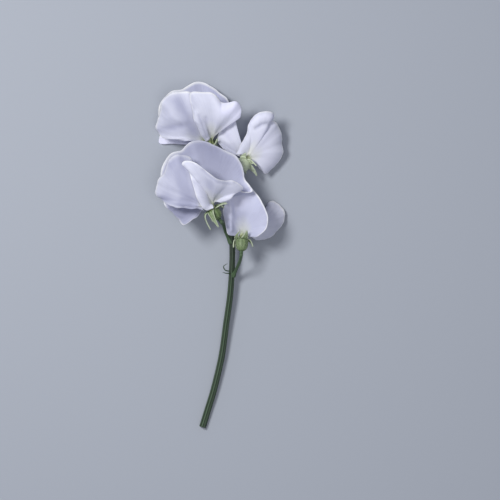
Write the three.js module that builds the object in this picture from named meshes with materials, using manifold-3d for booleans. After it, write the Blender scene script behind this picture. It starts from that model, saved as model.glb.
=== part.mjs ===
// White sweet pea: one cut stem with four blossoms, lying on its side.
// Millimetres, +Z up, the stem along Y with its blossoms at +Y.
import * as THREE from "three";
import { mergeVertices } from "three/addons/utils/BufferGeometryUtils.js";
import Module from "manifold-3d";

const wasm = await Module();
wasm.setup();

// Driving dimensions, mm unless noted; shares run from 0 at the foot of a piece to 1 at its end
const step = 0.55; // one layout step: every layout point below is [across, down, above the surface]
const sheetOrigin = [205, 250]; // layout point over X = 0, Y = 0 before centring
const boxMiddle = [8.297, -2.555]; // middle of the outline box in that frame, taken off at the end

const blade = 0.7; // petal thickness
const clawThick = 0.6; // thickness of the narrow foot of a petal
const claw = { radius: 1.8, inset: 2.6, outset: 1.4, width: 1.8, flare: 1.12, push: 4 };
// How a petal leaves its claw: share of the way to the margin at its first and second bend,
// the swell at the first bend against the second, and how much of it reaches the middle and the sides
const bow = { first: 0.06, second: 0.6, near: 0.35, middle: 1.3, sides: 0.455 };
const petalRows = { claw: 2, small: 9, large: 12 };
const largeMargin = 16; // margin points from which a petal counts as a large one

const cup = { length: 6.2, wall: 0.65, sepals: 5 };
const cupProfile = [[1.3, 0], [2.6, 1.4], [3.2, 3.2], [3.25, cup.length]]; // [radius, height]
const sepalReach = [0.04, 0.65, 1, 0.65]; // length of the sepal at four places across it
const sepalBend = { reach: 0.35, outwards: 0.9, forwards: 0.3 }; // how a sepal leaves the rim
const sepalRows = 3;
const notchRise = 0.12; // of the rim between two sepals, for each row

const seat = 0.3; // clearance between a calyx and its pedicel
const stemForm = { foot: 1.8, neck: 1.55, tip: 0.8, cutTilt: 0.3, rows: 24, sides: 12 };
const pedicelForm = { foot: 0.8, top: 1.0, rows: 9, sides: 8, ends: [3, 1.6, seat] };
const bractForm = { radius: 0.32, rows: 6, sides: 6 };

const keelForm = {
  foot: 0.92, belly: 1.9, tip: 0.75, wall: 0.6, footTurn: 95, bellyTurn: 118, slim: 0.74,
  swellFrom: 0.38, fullness: 0.92, tipFrom: 0.8, turnFrom: 0.3, slimFrom: 0.25, rows: 11, cols: 11,
};
// The shift goes towards the open side of the keel; the column takes that share of the keel's length
const stamenForm = { radius: 0.3, taper: 0.15, shift: 0.35, share: 0.86, rows: 9, sides: 6 };

// Each blossom: middle of the calyx mouth, its axis, the side that the standard stands on,
// the line of its keel and the tips of its sepals. Directions are [right, away, up].
const blossoms = {
  1: {
    mouth: [210, 143.5, 17], axis: [-0.36, 0.85, 0.38], back: [-0.1, 0.9, -0.42],
    keel: [[207.4, 130, 18], [206.4, 116, 19.5]],
    sepals: [[202, 150, 9], [201, 150, 20], [211, 151, 25], [217, 138.5, 27], [214.5, 150, 8]],
  },
  2: {
    mouth: [245, 162.5, 24], axis: [0.38, 0.62, -0.62], back: [0.45, 0.88, 0.3],
    keel: [[248.5, 152.5, 18.5], [251.5, 141, 16]],
    sepals: [[256.5, 166, 31], [257, 175.5, 18], [246, 173, 12], [233, 160, 24], [245.5, 153, 34]],
  },
  3: {
    mouth: [212.5, 209.5, 56], axis: [-0.55, 0.78, 0.18], back: [0.05, 0.5, -0.85],
    keel: [[206.9, 195, 53], [204.4, 181, 53.2]],
    sepals: [[213, 222, 45], [211, 230, 52], [219, 227.5, 62], [227.5, 204, 74.5], [224, 208, 49]],
  },
  4: {
    mouth: [242, 240, 34], axis: [0.05, 0.9, -0.3], back: [-0.1, 0.95, 0.35],
    keel: [[246, 226, 27], [252, 213, 20]],
    sepals: [[247, 230.5, 47], [253, 247, 31], [241, 254, 26], [233.5, 247.5, 32], [240, 231, 47.5]],
  },
};

// Each petal: its blossom, the angle of its claw round the calyx, how far its middle swells,
// its edge waves [height mm, growth, count, start] and the points of its margin, claw to claw.
const petals = {
  standard_1: {
    blossom: 1, at: 0, swell: [0, 0, -8], waves: [[0.7, 3, 6, 0.3]],
    margin: [
      [203, 141.5, 14], [194, 143.5, 9], [185, 144, 6], [170, 143.5, 4], [159, 142, 3],
      [158.5, 137, 2.5], [160, 130, 2], [159, 122, 1], [157.8, 114, 1], [158, 106, 1],
      [160.2, 100, 1.5], [164, 95.5, 2], [171, 90, 3], [180, 88.5, 4], [186, 85, 5],
      [194, 80.7, 6], [202, 81.2, 7], [212, 86, 9], [220.5, 92, 12], [226.3, 97, 14],
      [228.5, 104, 15], [229, 112, 17], [226, 121, 18], [220, 130, 18],
    ],
  },
  wing_left_1: {
    blossom: 1, at: 85, swell: [-4, 0, 16], waves: [[0.4, 3, 5, 0.3]],
    margin: [
      [183, 140.5, 26], [168, 138.2, 24], [161.5, 136.5, 20], [156.5, 132.5, 18], [155.3, 126, 19],
      [157.5, 119, 23], [160.5, 108, 28], [163, 99, 32], [169, 93.7, 36], [178, 91.8, 38.5],
      [187, 91.6, 38], [193.5, 94.5, 35], [195.5, 102, 33],
    ],
  },
  wing_right_1: {
    blossom: 1, at: -85, swell: [4, 0, 14], waves: [[0.4, 3, 5, 0.3]],
    margin: [
      [205.5, 141.5, 21.5], [200.5, 133, 28], [196, 122, 35], [192, 112, 39.5], [189.3, 103, 42.5],
      [188.8, 95.5, 43], [192.5, 91.8, 44], [202, 92, 45.5], [210, 92.6, 45.5], [216, 96, 45.5],
      [221, 102, 44.5], [227.5, 103, 44], [235, 101.8, 43.5], [239.3, 104.5, 42], [241, 109, 40],
      [239.5, 114.5, 38], [236, 119.5, 36.5],
    ],
  },
  standard_2: {
    blossom: 2, at: 0, swell: [4, 2, 10], waves: [[0.6, 3, 5, 0.3]],
    margin: [
      [236, 154, 27.5], [238.5, 147.5, 28.5], [243.6, 139.7, 29.5], [248, 132, 30], [249.5, 124, 31.5],
      [252.3, 118, 33], [258.8, 113, 34], [266.4, 111.5, 33], [272.3, 113, 30], [273.4, 116, 26.5],
      [271.8, 120.2, 24], [275, 122.3, 21.5], [279.4, 128.3, 18], [282.6, 135.9, 16], [282.9, 143, 14],
      [282.5, 150, 12.5], [281, 156.5, 11], [277.2, 163.5, 10.5], [267, 173.8, 12], [261, 168.5, 15],
      [257, 164, 17], [252, 161, 20],
    ],
  },
  wing_left_2: {
    blossom: 2, at: -85, swell: [-2, 0, 0], waves: [[0.3, 3, 4, 0.3]],
    margin: [
      [226, 150.5, 21], [219, 143.6, 19], [217.4, 138, 19], [219.5, 131, 22], [224, 123, 27],
      [231, 118.5, 30], [235.5, 119.5, 30],
    ],
  },
  wing_right_2: {
    blossom: 2, at: 85, swell: [2, 0, -2], waves: [[0.3, 3, 4, 0.3]],
    margin: [
      [252, 146, 8], [256, 138, 5], [260, 130, 2], [265, 127, 0.4], [271, 132, 0.4],
      [270, 143, 1], [263, 151, 5],
    ],
  },
  standard_3: {
    blossom: 3, at: 0, swell: [0, 0, -10], waves: [[0.8, 3, 6, 0.3]],
    margin: [
      [204, 207, 52], [199.5, 211, 50], [195, 218, 49], [184, 226, 50], [178, 219, 46],
      [172, 211, 41], [165, 205, 36], [162, 196, 31], [161, 185, 29], [160.5, 172, 29],
      [164, 162, 31], [171, 153, 33], [181, 150, 36], [185, 146, 37], [191, 142, 39],
      [200, 141, 42], [212, 144, 45], [224, 149.5, 47], [235, 155.5, 48], [240.5, 164, 49],
      [243.7, 173, 50], [246, 180, 50], [250, 185.5, 50], [252, 190.5, 50], [245, 191, 52],
      [236, 192.5, 54], [228.5, 197, 56], [221, 201, 57],
    ],
  },
  wing_left_3: {
    blossom: 3, at: 85, swell: [-6, 0, 14], waves: [[0.4, 3, 5, 0.3]],
    margin: [
      [204, 211.5, 60], [192.5, 208.8, 64], [176, 207.2, 61], [165, 203.2, 54], [159, 198.3, 48],
      [156, 192.3, 46], [156, 186, 47], [158, 181, 48], [163, 175, 52], [165.3, 168.6, 54],
      [168.8, 160.7, 55], [175.7, 155.3, 57], [182.6, 154.8, 57], [190, 158, 54], [195, 167, 50],
    ],
  },
  wing_right_3: {
    blossom: 3, at: -85, swell: [3, 2, 8], waves: [[0.4, 3, 5, 0.3]],
    margin: [
      [213.5, 208.8, 65.5], [206, 210.3, 65], [198.5, 200, 67.5], [194.5, 188, 68], [190.5, 176, 69],
      [186, 168.5, 70.5], [182.8, 164.5, 72], [185.6, 161.5, 74], [193.5, 162.7, 77], [202.4, 168.6, 80],
      [211.3, 175.5, 80], [217.2, 179.5, 78], [225, 181, 74], [232, 181, 69], [238.5, 184, 64],
      [243, 188.5, 60], [240, 192, 60], [235, 194.3, 61.5], [229, 199.3, 62], [221.5, 203.3, 61],
    ],
  },
  standard_4: {
    blossom: 4, at: 0, swell: [0, 2, 2], waves: [[0.6, 3, 5, 0.3]],
    margin: [
      [239, 236, 37], [233, 236, 37], [228, 234, 37.5], [226, 227, 38], [224, 218, 39],
      [223, 211, 40], [225.5, 203, 42], [229, 195, 43], [235, 190, 43], [243, 187, 42],
      [250, 187, 42], [256, 193, 42], [261, 200, 43], [265.5, 209, 44], [268, 218, 45],
      [266, 229, 44], [258, 236, 42], [250.5, 237, 39],
    ],
  },
  wing_left_4: {
    blossom: 4, at: -85, swell: [-2, 0, -3], waves: [[0.3, 3, 4, 0.3]],
    margin: [
      [236, 222, 19], [236, 212, 13], [240, 202, 8], [246, 197, 6], [250, 203, 8],
      [248.5, 212, 11], [246, 222, 15],
    ],
  },
  wing_right_4: {
    blossom: 4, at: 85, swell: [3, 0, 3], waves: [[0.3, 3, 4, 0.3]],
    margin: [
      [253, 231, 19], [259, 222, 11], [263, 212, 6], [267, 204, 3], [274, 201, 2.5],
      [282, 206, 3], [285, 215, 5], [281, 227, 9], [270, 237, 16], [256, 240, 24],
    ],
  },
};

const stemLine = [
  [202, 428.5, 3.1], [208, 409, 4], [213.7, 390, 5], [221.3, 357.6, 6.5], [225.9, 325, 8.5],
  [230.3, 292.5, 11], [232.2, 260, 13.5], [231.8, 238, 15], [230, 222, 16], [228, 200, 17.5],
  [226.5, 180, 18.5], [226, 165, 19], [226.5, 154, 19.5],
];
const pedicelLines = {
  1: [[226, 168, 19], [225.5, 160, 17], [222, 153, 13]],
  2: [[228, 194, 18], [231, 188, 21], [237, 183, 26]],
  3: [[230.8, 243, 15], [227.2, 236, 18], [224.5, 229, 25], [222.6, 222, 37]],
  4: [[233, 276, 13], [236, 270, 19], [239.5, 262, 31]],
};
const bractLines = [
  [[231.5, 273, 13.5], [227, 273.5, 17], [222.5, 272.5, 19]],
  [[231.5, 271.5, 13.5], [225.5, 270.5, 17], [223.5, 266.5, 19], [227.5, 263.5, 20]],
];

// Vectors
const vec = (a) => new THREE.Vector3(...a);
const layout = (p) =>
  new THREE.Vector3(p[0] - sheetOrigin[0], sheetOrigin[1] - p[1], p[2]).multiplyScalar(step);
const mix = (...pairs) =>
  pairs.reduce((sum, [v, w]) => sum.addScaledVector(v, w), new THREE.Vector3());
const smooth = (x) => {
  const t = Math.min(Math.max(x, 0), 1);
  return t * t * (3 - 2 * t);
};
const radians = THREE.MathUtils.degToRad;

// Curve through points, each bend set by its two neighbours; u runs from 0 to 1.
function along(points, u) {
  const last = points.length - 1;
  const at = (i) =>
    i < 0
      ? mix([points[0], 2], [points[1], -1])
      : i > last
        ? mix([points[last], 2], [points[last - 1], -1])
        : points[i];
  const x = Math.min(Math.max(u, 0), 1) * last;
  const i = Math.min(Math.floor(x), last - 1);
  const f = x - i;
  return mix(
    [at(i - 1), 0.5 * (-f + 2 * f ** 2 - f ** 3)],
    [at(i), 0.5 * (2 - 5 * f ** 2 + 3 * f ** 3)],
    [at(i + 1), 0.5 * (f + 4 * f ** 2 - 3 * f ** 3)],
    [at(i + 2), 0.5 * (f ** 3 - f ** 2)],
  );
}

// Normals of a grid of points, from the differences along its rows and columns.
function gridNormals(grid, wrap = false) {
  const rows = grid.length;
  const cols = grid[0].length;
  return grid.map((row, i) =>
    row.map((_, j) => {
      const up = grid[Math.min(i + 1, rows - 1)][j].clone().sub(grid[Math.max(i - 1, 0)][j]);
      const right = wrap ? row[(j + 1) % cols] : row[Math.min(j + 1, cols - 1)];
      const left = wrap ? row[(j + cols - 1) % cols] : row[Math.max(j - 1, 0)];
      return up.cross(right.clone().sub(left)).normalize();
    }),
  );
}

// Indexed faces to a mesh geometry.
function geometryOf(points, faces) {
  const g = new THREE.BufferGeometry();
  g.setAttribute("position", new THREE.Float32BufferAttribute(points.flatMap((p) => p.toArray()), 3));
  g.setIndex(faces.flat());
  return g;
}

// Closed blade round a middle surface: both faces are cut alike and joined along the margin.
function bladeOf(grid, thicknessAt) {
  const rows = grid.length;
  const cols = grid[0].length;
  const normals = gridNormals(grid);
  const points = [];
  for (const side of [0.5, -0.5])
    grid.forEach((row, i) =>
      row.forEach((p, j) => {
        const q = mix([p, 1], [normals[i][j], side * thicknessAt(i / (rows - 1))]);
        q.z = Math.max(q.z, 0);
        points.push(q);
      }),
    );
  const top = (i, j) => i * cols + j;
  const under = (i, j) => rows * cols + i * cols + j;
  const faces = [];
  for (let i = 0; i < rows - 1; i++)
    for (let j = 0; j < cols - 1; j++) {
      faces.push([top(i, j), top(i + 1, j), top(i + 1, j + 1)]);
      faces.push([top(i, j), top(i + 1, j + 1), top(i, j + 1)]);
      faces.push([under(i, j), under(i + 1, j + 1), under(i + 1, j)]);
      faces.push([under(i, j), under(i, j + 1), under(i + 1, j + 1)]);
    }
  const border = [];
  for (let j = 0; j < cols - 1; j++) border.push([0, j, 0, j + 1]);
  for (let i = 0; i < rows - 1; i++) border.push([i, cols - 1, i + 1, cols - 1]);
  for (let j = cols - 1; j > 0; j--) border.push([rows - 1, j, rows - 1, j - 1]);
  for (let i = rows - 1; i > 0; i--) border.push([i, 0, i - 1, 0]);
  for (const [a, b, c, d] of border) {
    faces.push([top(a, b), top(c, d), under(c, d)]);
    faces.push([top(a, b), under(c, d), under(a, b)]);
  }
  return geometryOf(points, faces);
}

// Round rod along a line of points, with a radius for each place along it.
function rodOf(line, radiusAt, rows, sides, endTilt = 0) {
  const centres = [];
  for (let i = 0; i <= rows; i++) centres.push(along(line, i / rows));
  const points = [];
  const faces = [];
  centres.forEach((c, i) => {
    const t = centres[Math.min(i + 1, rows)].clone().sub(centres[Math.max(i - 1, 0)]).normalize();
    const across = new THREE.Vector3().crossVectors(t, new THREE.Vector3(0, 0, 1)).normalize();
    const over = new THREE.Vector3().crossVectors(across, t);
    const r = radiusAt(i / rows);
    for (let k = 0; k < sides; k++) {
      const a = (2 * Math.PI * (k + 0.5)) / sides;
      const q = mix([c, 1], [across, r * Math.cos(a)], [over, r * Math.sin(a)]);
      if (i === 0) q.addScaledVector(t, endTilt * Math.cos(a) * r);
      q.z = Math.max(q.z, 0);
      points.push(q);
    }
  });
  const at = (i, k) => i * sides + (k % sides);
  for (let i = 0; i < rows; i++)
    for (let k = 0; k < sides; k++) {
      faces.push([at(i, k), at(i, k + 1), at(i + 1, k + 1)]);
      faces.push([at(i, k), at(i + 1, k + 1), at(i + 1, k)]);
    }
  for (let k = 1; k < sides - 1; k++) {
    faces.push([at(0, 0), at(0, k + 1), at(0, k)]);
    faces.push([at(rows, 0), at(rows, k), at(rows, k + 1)]);
  }
  return geometryOf(points, faces);
}

// Outward-facing solid for joining, and back.
function solidOf(geometry) {
  const g = mergeVertices(geometry, 1e-4);
  const make = (triVerts) =>
    new wasm.Manifold(
      new wasm.Mesh({ numProp: 3, vertProperties: g.attributes.position.array, triVerts }),
    );
  const faces = new Uint32Array(g.index.array);
  const made = make(faces);
  if (made.volume() > 0) return made;
  for (let i = 0; i < faces.length; i += 3) [faces[i + 1], faces[i + 2]] = [faces[i + 2], faces[i + 1]];
  return make(faces);
}
function meshOf(solid) {
  const { vertProperties, triVerts } = solid.getMesh();
  const g = new THREE.BufferGeometry();
  g.setAttribute("position", new THREE.BufferAttribute(vertProperties.slice(), 3));
  g.setIndex(new THREE.BufferAttribute(triVerts.slice(), 1));
  return g;
}

// Frame of a blossom: mouth, axis, the direction of its standard and its side.
function frameOf(k) {
  const b = blossoms[k];
  const axis = vec(b.axis).normalize();
  const back = vec(b.back);
  back.addScaledVector(axis, -back.dot(axis)).normalize();
  const side = new THREE.Vector3().crossVectors(axis, back);
  const mouth = layout(b.mouth);
  const base = mix([mouth, 1], [axis, -cup.length]);
  return { ...b, axis, back, side, mouth, base };
}

// Petal: a narrow claw in the calyx, then rays that leave along the axis and bend to the margin.
function petalGrid(spec, bladeRows) {
  const f = frameOf(spec.blossom);
  const margin = spec.margin.map(layout);
  const cols = margin.length;
  const a0 = radians(spec.at);
  const radial = mix([f.back, Math.cos(a0)], [f.side, Math.sin(a0)]);
  const tangent = mix([f.back, -Math.sin(a0)], [f.side, Math.cos(a0)]);
  const span = margin[margin.length - 1].clone().sub(margin[0]);
  const turn = span.dot(tangent) > 0 ? 1 : -1;
  const swell = vec(spec.swell).multiplyScalar(step);
  const rows = [];
  const shares = [];
  for (let i = 0; i < petalRows.claw; i++) shares.push([i / petalRows.claw, 0]);
  for (let i = 0; i < bladeRows; i++) shares.push([1, i / (bladeRows - 1)]);
  for (const [c, t] of shares) {
    const row = [];
    for (let j = 0; j < cols; j++) {
      const v = j / (cols - 1);
      const edge = margin[j];
      const a = (turn * (v - 0.5) * claw.width) / claw.radius;
      const ring = mix([radial, Math.cos(a)], [tangent, Math.sin(a)]);
      const foot = mix([f.mouth, 1], [f.axis, -claw.inset], [ring, claw.radius]);
      const neck = mix([f.mouth, 1], [f.axis, claw.outset], [ring, claw.radius * claw.flare]);
      const reach = edge.clone().sub(neck);
      const lift = bow.sides + (bow.middle - bow.sides) * Math.sin(Math.PI * v);
      const first = mix([neck, 1], [f.axis, claw.push], [reach, bow.first], [swell, bow.near * lift]);
      const second = mix([neck, 1], [reach, bow.second], [swell, lift]);
      row.push(
        c < 1
          ? mix([foot, 1 - c], [neck, c])
          : mix([neck, (1 - t) ** 3], [first, 3 * (1 - t) ** 2 * t], [second, 3 * (1 - t) * t ** 2],
              [edge, t ** 3]),
      );
    }
    rows.push(row);
  }
  const normals = gridNormals(rows);
  rows.forEach((row, i) =>
    row.forEach((p, j) => {
      const v = j / (cols - 1);
      for (const [height, growth, count, start] of spec.waves)
        p.addScaledVector(
          normals[i][j],
          height * shares[i][1] ** growth * Math.sin(2 * Math.PI * count * v + start),
        );
    }),
  );
  return rows;
}

function petal(spec) {
  const bladeRows = spec.margin.length < largeMargin ? petalRows.small : petalRows.large;
  const bladeStart = petalRows.claw / (petalRows.claw + bladeRows - 1);
  return bladeOf(petalGrid(spec, bladeRows), (t) => (t < bladeStart ? clawThick : blade));
}

// Line of the keel from inside the calyx to its tip.
function keelLine(f) {
  return [
    mix([f.mouth, 1], [f.axis, -claw.inset]),
    mix([f.mouth, 1], [f.axis, claw.outset]),
    ...f.keel.map(layout),
  ];
}

// Boat-shaped keel: a trough whose open side faces the standard.
function keel(f) {
  const line = keelLine(f);
  const { foot, belly, tip, footTurn, bellyTurn, rows, cols } = keelForm;
  const grid = [];
  for (let i = 0; i < rows; i++) {
    const t = i / (rows - 1);
    const c = along(line, t);
    const d = along(line, Math.min(t + 0.02, 1)).sub(along(line, Math.max(t - 0.02, 0))).normalize();
    const open = f.back.clone().addScaledVector(d, -f.back.dot(d)).normalize();
    const across = new THREE.Vector3().crossVectors(d, open);
    const swell = Math.sin(
      Math.PI * keelForm.fullness * smooth((t - keelForm.swellFrom) / (1 - keelForm.swellFrom)),
    );
    const narrow = smooth((t - keelForm.tipFrom) / (1 - keelForm.tipFrom));
    const r = foot + (belly - foot) * swell - (foot - tip) * narrow;
    const opens = smooth((t - keelForm.turnFrom) / keelForm.turnFrom);
    const turn = radians(footTurn + (bellyTurn - footTurn) * opens);
    const slim = 1 - (1 - keelForm.slim) * smooth((t - keelForm.slimFrom) / keelForm.slimFrom);
    const row = [];
    for (let j = 0; j < cols; j++) {
      const a = turn * ((2 * j) / (cols - 1) - 1);
      row.push(mix([c, 1], [open, -r * Math.cos(a)], [across, slim * r * Math.sin(a)]));
    }
    grid.push(row);
  }
  return bladeOf(grid, () => keelForm.wall);
}

// Stamens and style as one slender column along the keel.
function stamens(f) {
  const { radius, taper, shift, share, rows, sides } = stamenForm;
  const line = keelLine(f).map((p) => mix([p, 1], [f.back, shift]));
  const part = line.map((_, i) => along(line, (share * i) / (line.length - 1)));
  return rodOf(part, (t) => radius * (1 - taper * t), rows, sides);
}

// Calyx: a cup that splits into pointed sepals. Each sepal leaves the rim outwards and bends to its tip.
function calyx(f) {
  const perSepal = sepalReach.length;
  const cols = cup.sepals * perSepal;
  const share = (2 * Math.PI) / cup.sepals;
  const mouthRadius = cupProfile[cupProfile.length - 1][0];
  const paths = f.sepals.map((tip, s) => {
    const a = (s + 0.5) * share;
    const radial = mix([f.back, Math.cos(a)], [f.side, Math.sin(a)]);
    const across = mix([f.back, -Math.sin(a)], [f.side, Math.cos(a)]);
    const rim = mix([f.mouth, 1], [radial, mouthRadius]);
    const end = layout(tip);
    const leave = sepalBend.reach * rim.distanceTo(end);
    const bend = mix([rim, 1], [radial, leave * sepalBend.outwards], [f.axis, leave * sepalBend.forwards]);
    const path = (t) => mix([rim, (1 - t) ** 2], [bend, 2 * t * (1 - t)], [end, t ** 2]);
    return { radial, across, path };
  });
  const grid = cupProfile.map(([r, h]) => {
    const row = [];
    for (let j = 0; j < cols; j++) {
      const a = (j / perSepal) * share;
      row.push(mix([f.base, 1], [f.axis, h], [f.back, r * Math.cos(a)], [f.side, r * Math.sin(a)]));
    }
    return row;
  });
  for (let i = 1; i <= sepalRows; i++) {
    const row = [];
    for (let j = 0; j < cols; j++) {
      const place = j % perSepal;
      const { radial, across, path } = paths[Math.floor(j / perSepal)];
      if (place === 0) {
        row.push(mix([grid[cupProfile.length - 1][j], 1], [f.axis, notchRise * i]));
        continue;
      }
      const w = ((place - perSepal / 2) / perSepal) * share;
      const reach = (sepalReach[place] * i) / sepalRows;
      row.push(
        mix([path(reach), 1], [across, mouthRadius * Math.sin(w)],
          [radial, -mouthRadius * (1 - Math.cos(w)) * (1 - smooth(reach * 2))]),
      );
    }
    grid.push(row);
  }
  const normals = gridNormals(grid, true);
  const outward = normals[2][0].dot(grid[2][0].clone().sub(f.mouth)) > 0 ? 1 : -1;
  const rows = grid.length;
  const points = [];
  for (const side of [0, cup.wall])
    grid.forEach((row, i) =>
      row.forEach((p, j) => points.push(mix([p, 1], [normals[i][j], -side * outward]))),
    );
  const poles = [points.length, points.length + 1];
  points.push(f.base.clone(), mix([f.base, 1], [f.axis, cup.wall]));
  const outer = (i, j) => i * cols + (j % cols);
  const inner = (i, j) => rows * cols + i * cols + (j % cols);
  const faces = [];
  for (let j = 0; j < cols; j++) {
    faces.push([poles[0], outer(0, j + 1), outer(0, j)], [poles[1], inner(0, j), inner(0, j + 1)]);
    for (let i = 0; i < rows - 1; i++)
      faces.push(
        [outer(i, j), outer(i, j + 1), outer(i + 1, j + 1)],
        [outer(i, j), outer(i + 1, j + 1), outer(i + 1, j)],
        [inner(i, j), inner(i + 1, j + 1), inner(i, j + 1)],
        [inner(i, j), inner(i + 1, j), inner(i + 1, j + 1)],
      );
    faces.push(
      [outer(rows - 1, j), outer(rows - 1, j + 1), inner(rows - 1, j + 1)],
      [outer(rows - 1, j), inner(rows - 1, j + 1), inner(rows - 1, j)],
    );
  }
  return geometryOf(points, faces);
}

// Stem with its four pedicels and the two fine bracts at the lowest one.
function stem() {
  const { foot, neck, tip, cutTilt, rows, sides } = stemForm;
  const main = rodOf(
    stemLine.map(layout),
    (t) => (t < 0.5 ? foot + (neck - foot) * 2 * t : neck + (tip - neck) * smooth(2 * t - 1)),
    rows, sides, cutTilt,
  );
  const pieces = [solidOf(main)];
  for (const [k, line] of Object.entries(pedicelLines)) {
    const f = frameOf(k);
    const { foot, top, rows, sides } = pedicelForm;
    const ends = pedicelForm.ends.map((drop) => mix([f.base, 1], [f.axis, -drop]));
    const route = [...line.map(layout), ...ends];
    pieces.push(solidOf(rodOf(route, (t) => foot + (top - foot) * t, rows, sides)));
  }
  for (const line of bractLines) {
    const { radius, rows, sides } = bractForm;
    pieces.push(solidOf(rodOf(line.map(layout), () => radius, rows, sides)));
  }
  return meshOf(wasm.Manifold.union(pieces));
}

// Assembly
const root = new THREE.Group();
root.name = "white_sweet_pea";
const finishes = {
  petal: new THREE.MeshStandardMaterial({ color: 0xf1f0f8, roughness: 0.6, metalness: 0 }),
  keel: new THREE.MeshStandardMaterial({ color: 0xf2f3e2, roughness: 0.6, metalness: 0 }),
  calyx: new THREE.MeshStandardMaterial({ color: 0x7f9c58, roughness: 0.6, metalness: 0 }),
  stem: new THREE.MeshStandardMaterial({ color: 0x4c7a58, roughness: 0.55, metalness: 0 }),
  stamen: new THREE.MeshStandardMaterial({ color: 0xdfe2a8, roughness: 0.6, metalness: 0 }),
};
function add(name, geometry, finish) {
  const solid = solidOf(geometry);
  const mesh = new THREE.Mesh(meshOf(solid), finishes[finish]);
  mesh.name = name;
  mesh.geometry.translate(-boxMiddle[0], -boxMiddle[1], 0);
  root.add(mesh);
}

add("stem", stem(), "stem");
for (const [name, spec] of Object.entries(petals)) add(name, petal(spec), "petal");
for (const k of Object.keys(blossoms)) {
  const f = frameOf(k);
  add(`calyx_${k}`, calyx(f), "calyx");
  add(`keel_${k}`, keel(f), "keel");
  add(`stamens_${k}`, stamens(f), "stamen");
}

export default root;
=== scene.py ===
import bpy
import numpy as np
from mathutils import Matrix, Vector


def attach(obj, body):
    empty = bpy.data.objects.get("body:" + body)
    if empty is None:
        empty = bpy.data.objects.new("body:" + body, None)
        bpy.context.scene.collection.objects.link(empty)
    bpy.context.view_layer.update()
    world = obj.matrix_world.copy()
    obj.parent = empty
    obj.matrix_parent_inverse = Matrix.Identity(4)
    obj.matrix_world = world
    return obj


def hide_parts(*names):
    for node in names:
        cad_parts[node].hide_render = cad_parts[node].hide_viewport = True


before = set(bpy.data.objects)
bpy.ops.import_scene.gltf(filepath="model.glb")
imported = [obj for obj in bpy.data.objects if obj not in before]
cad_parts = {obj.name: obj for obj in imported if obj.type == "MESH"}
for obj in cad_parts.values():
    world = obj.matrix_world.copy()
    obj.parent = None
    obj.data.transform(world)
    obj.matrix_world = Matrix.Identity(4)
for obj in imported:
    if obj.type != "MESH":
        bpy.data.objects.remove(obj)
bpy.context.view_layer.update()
print("frame loaded")

step = 0.55  # mm in one layout step
sheetOrigin = (205, 250)  # layout point over X = 0, Y = 0 before centring
boxMiddle = (8.297, -2.555)  # middle of the outline box, taken off every place


# Vectors, curves and meshes

def unit(v):
    v = np.asarray(v, float)
    return v / np.linalg.norm(v, axis=-1, keepdims=True)


def layout(points):
    # layout steps to millimetres in the row's frame
    p = np.asarray(points, float)
    x = (p[..., 0] - sheetOrigin[0]) * step - boxMiddle[0]
    y = (sheetOrigin[1] - p[..., 1]) * step - boxMiddle[1]
    return np.stack([x, y, p[..., 2] * step], -1)


def smooth(x):
    # cubic ease from 0 to 1
    t = np.clip(x, 0, 1)
    return t * t * (3 - 2 * t)


def along(points, u):
    # curve through the points, each bend set by its two neighbours; u runs from 0 to 1
    p = np.asarray(points, float)
    last = len(p) - 1
    p = np.vstack([2 * p[0] - p[1], p, 2 * p[-1] - p[-2]])
    x = np.clip(u, 0, 1) * last
    i = np.minimum(x.astype(int), last - 1)
    f = (x - i)[..., None]
    return 0.5 * (
        p[i] * (-f + 2 * f**2 - f**3)
        + p[i + 1] * (2 - 5 * f**2 + 3 * f**3)
        + p[i + 2] * (f + 4 * f**2 - 3 * f**3)
        + p[i + 3] * (f**3 - f**2)
    )


def gridNormals(grid):
    # cross product of the differences along rows and columns; the small term guards a pole
    up = np.gradient(grid, axis=0)
    right = np.gradient(grid, axis=1)
    n = np.cross(up, right)
    return n / (np.linalg.norm(n, axis=-1, keepdims=True) + 1e-12)


def gridFaces(rows, cols, wrap=False):
    # quads between neighbouring rows and columns; wrap joins the last column to the first
    i = np.arange(rows - 1)[:, None]
    j = np.arange(cols if wrap else cols - 1)[None, :]
    k = (j + 1) % cols
    quads = [i * cols + j, i * cols + k, (i + 1) * cols + k, (i + 1) * cols + j]
    return np.stack(np.broadcast_arrays(*quads), -1).reshape(-1, 4)


def addPiece(name, points, faces, material, marks=None, thickness=0, stands=()):
    # mesh of points in mm, with one number for each point in every mark, riding on the part
    mesh = bpy.data.meshes.new(name)
    mesh.from_pydata((points / 1000).tolist(), [], [list(map(int, f)) for f in faces])
    mesh.polygons.foreach_set("use_smooth", np.ones(len(mesh.polygons), bool))
    for mark, values in (marks or {}).items():
        layer = mesh.attributes.new(mark, "FLOAT", "POINT")
        layer.data.foreach_set("value", np.asarray(values, np.float32).ravel())
    mesh.materials.append(material)
    piece = bpy.data.objects.new(name, mesh)
    bpy.context.scene.collection.objects.link(piece)
    if thickness:
        shell = piece.modifiers.new("thickness", "SOLIDIFY")
        shell.thickness = thickness / 1000
        shell.offset = 0
    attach(piece, "root")
    if stands:
        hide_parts(*stands)
    return piece


# Materials

def linear(hexColour):
    # sRGB hex to linear red, green, blue, alpha
    c = np.array([int(hexColour[i:i + 2], 16) for i in (1, 3, 5)]) / 255
    low = c / 12.92
    high = ((c + 0.055) / 1.055) ** 2.4
    return (*np.where(c <= 0.04045, low, high), 1.0)


def node(tree, kind, settings=None, inputs=None):
    # adds one node; an input is a value or the (node, output) that feeds it
    made = tree.nodes.new(kind)
    for key, value in (settings or {}).items():
        setattr(made, key, value)
    for key, value in (inputs or {}).items():
        if isinstance(value, tuple) and len(value) == 2 and hasattr(value[0], "outputs"):
            tree.links.new(value[0].outputs[value[1]], made.inputs[key])
        else:
            made.inputs[key].default_value = value
    return made


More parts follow.
